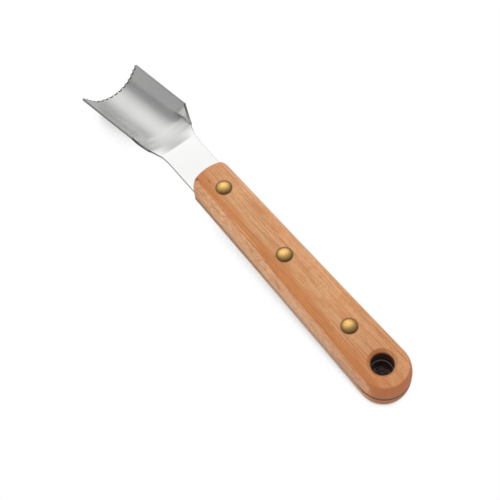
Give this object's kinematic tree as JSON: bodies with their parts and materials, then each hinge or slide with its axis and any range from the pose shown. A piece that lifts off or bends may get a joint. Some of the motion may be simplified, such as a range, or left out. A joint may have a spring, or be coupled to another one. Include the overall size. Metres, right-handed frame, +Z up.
{
  "type": "hand-held coconut grater",
  "caption": "Hand-held coconut scraper: a steel scoop with a scalloped front edge on a full tang, riveted between wooden handle scales with a hanging hole.",
  "frame": {"origin": "on the table under the middle of the tool's bounding box, with the tool lying on its middle tooth and the edge of its butt", "axes": "+X along the tool from the teeth to the butt, +Y across the handle, +Z up, out of the open side of the scoop"},
  "size_m": [0.2272, 0.0348, 0.0298],
  "materials": {
    "stainless_steel": "polished",
    "beech": "sanded and oiled",
    "brass": "lightly tarnished"
  },
  "bodies": {
    "root": {"scraper_blade": "stainless_steel", "top_handle_scale": "beech", "bottom_handle_scale": "beech", "front_rivet_sleeve": "brass", "front_rivet_post": "brass", "middle_rivet_sleeve": "brass", "middle_rivet_post": "brass", "rear_rivet_sleeve": "brass", "rear_rivet_post": "brass"}
  },
  "joints": []
}
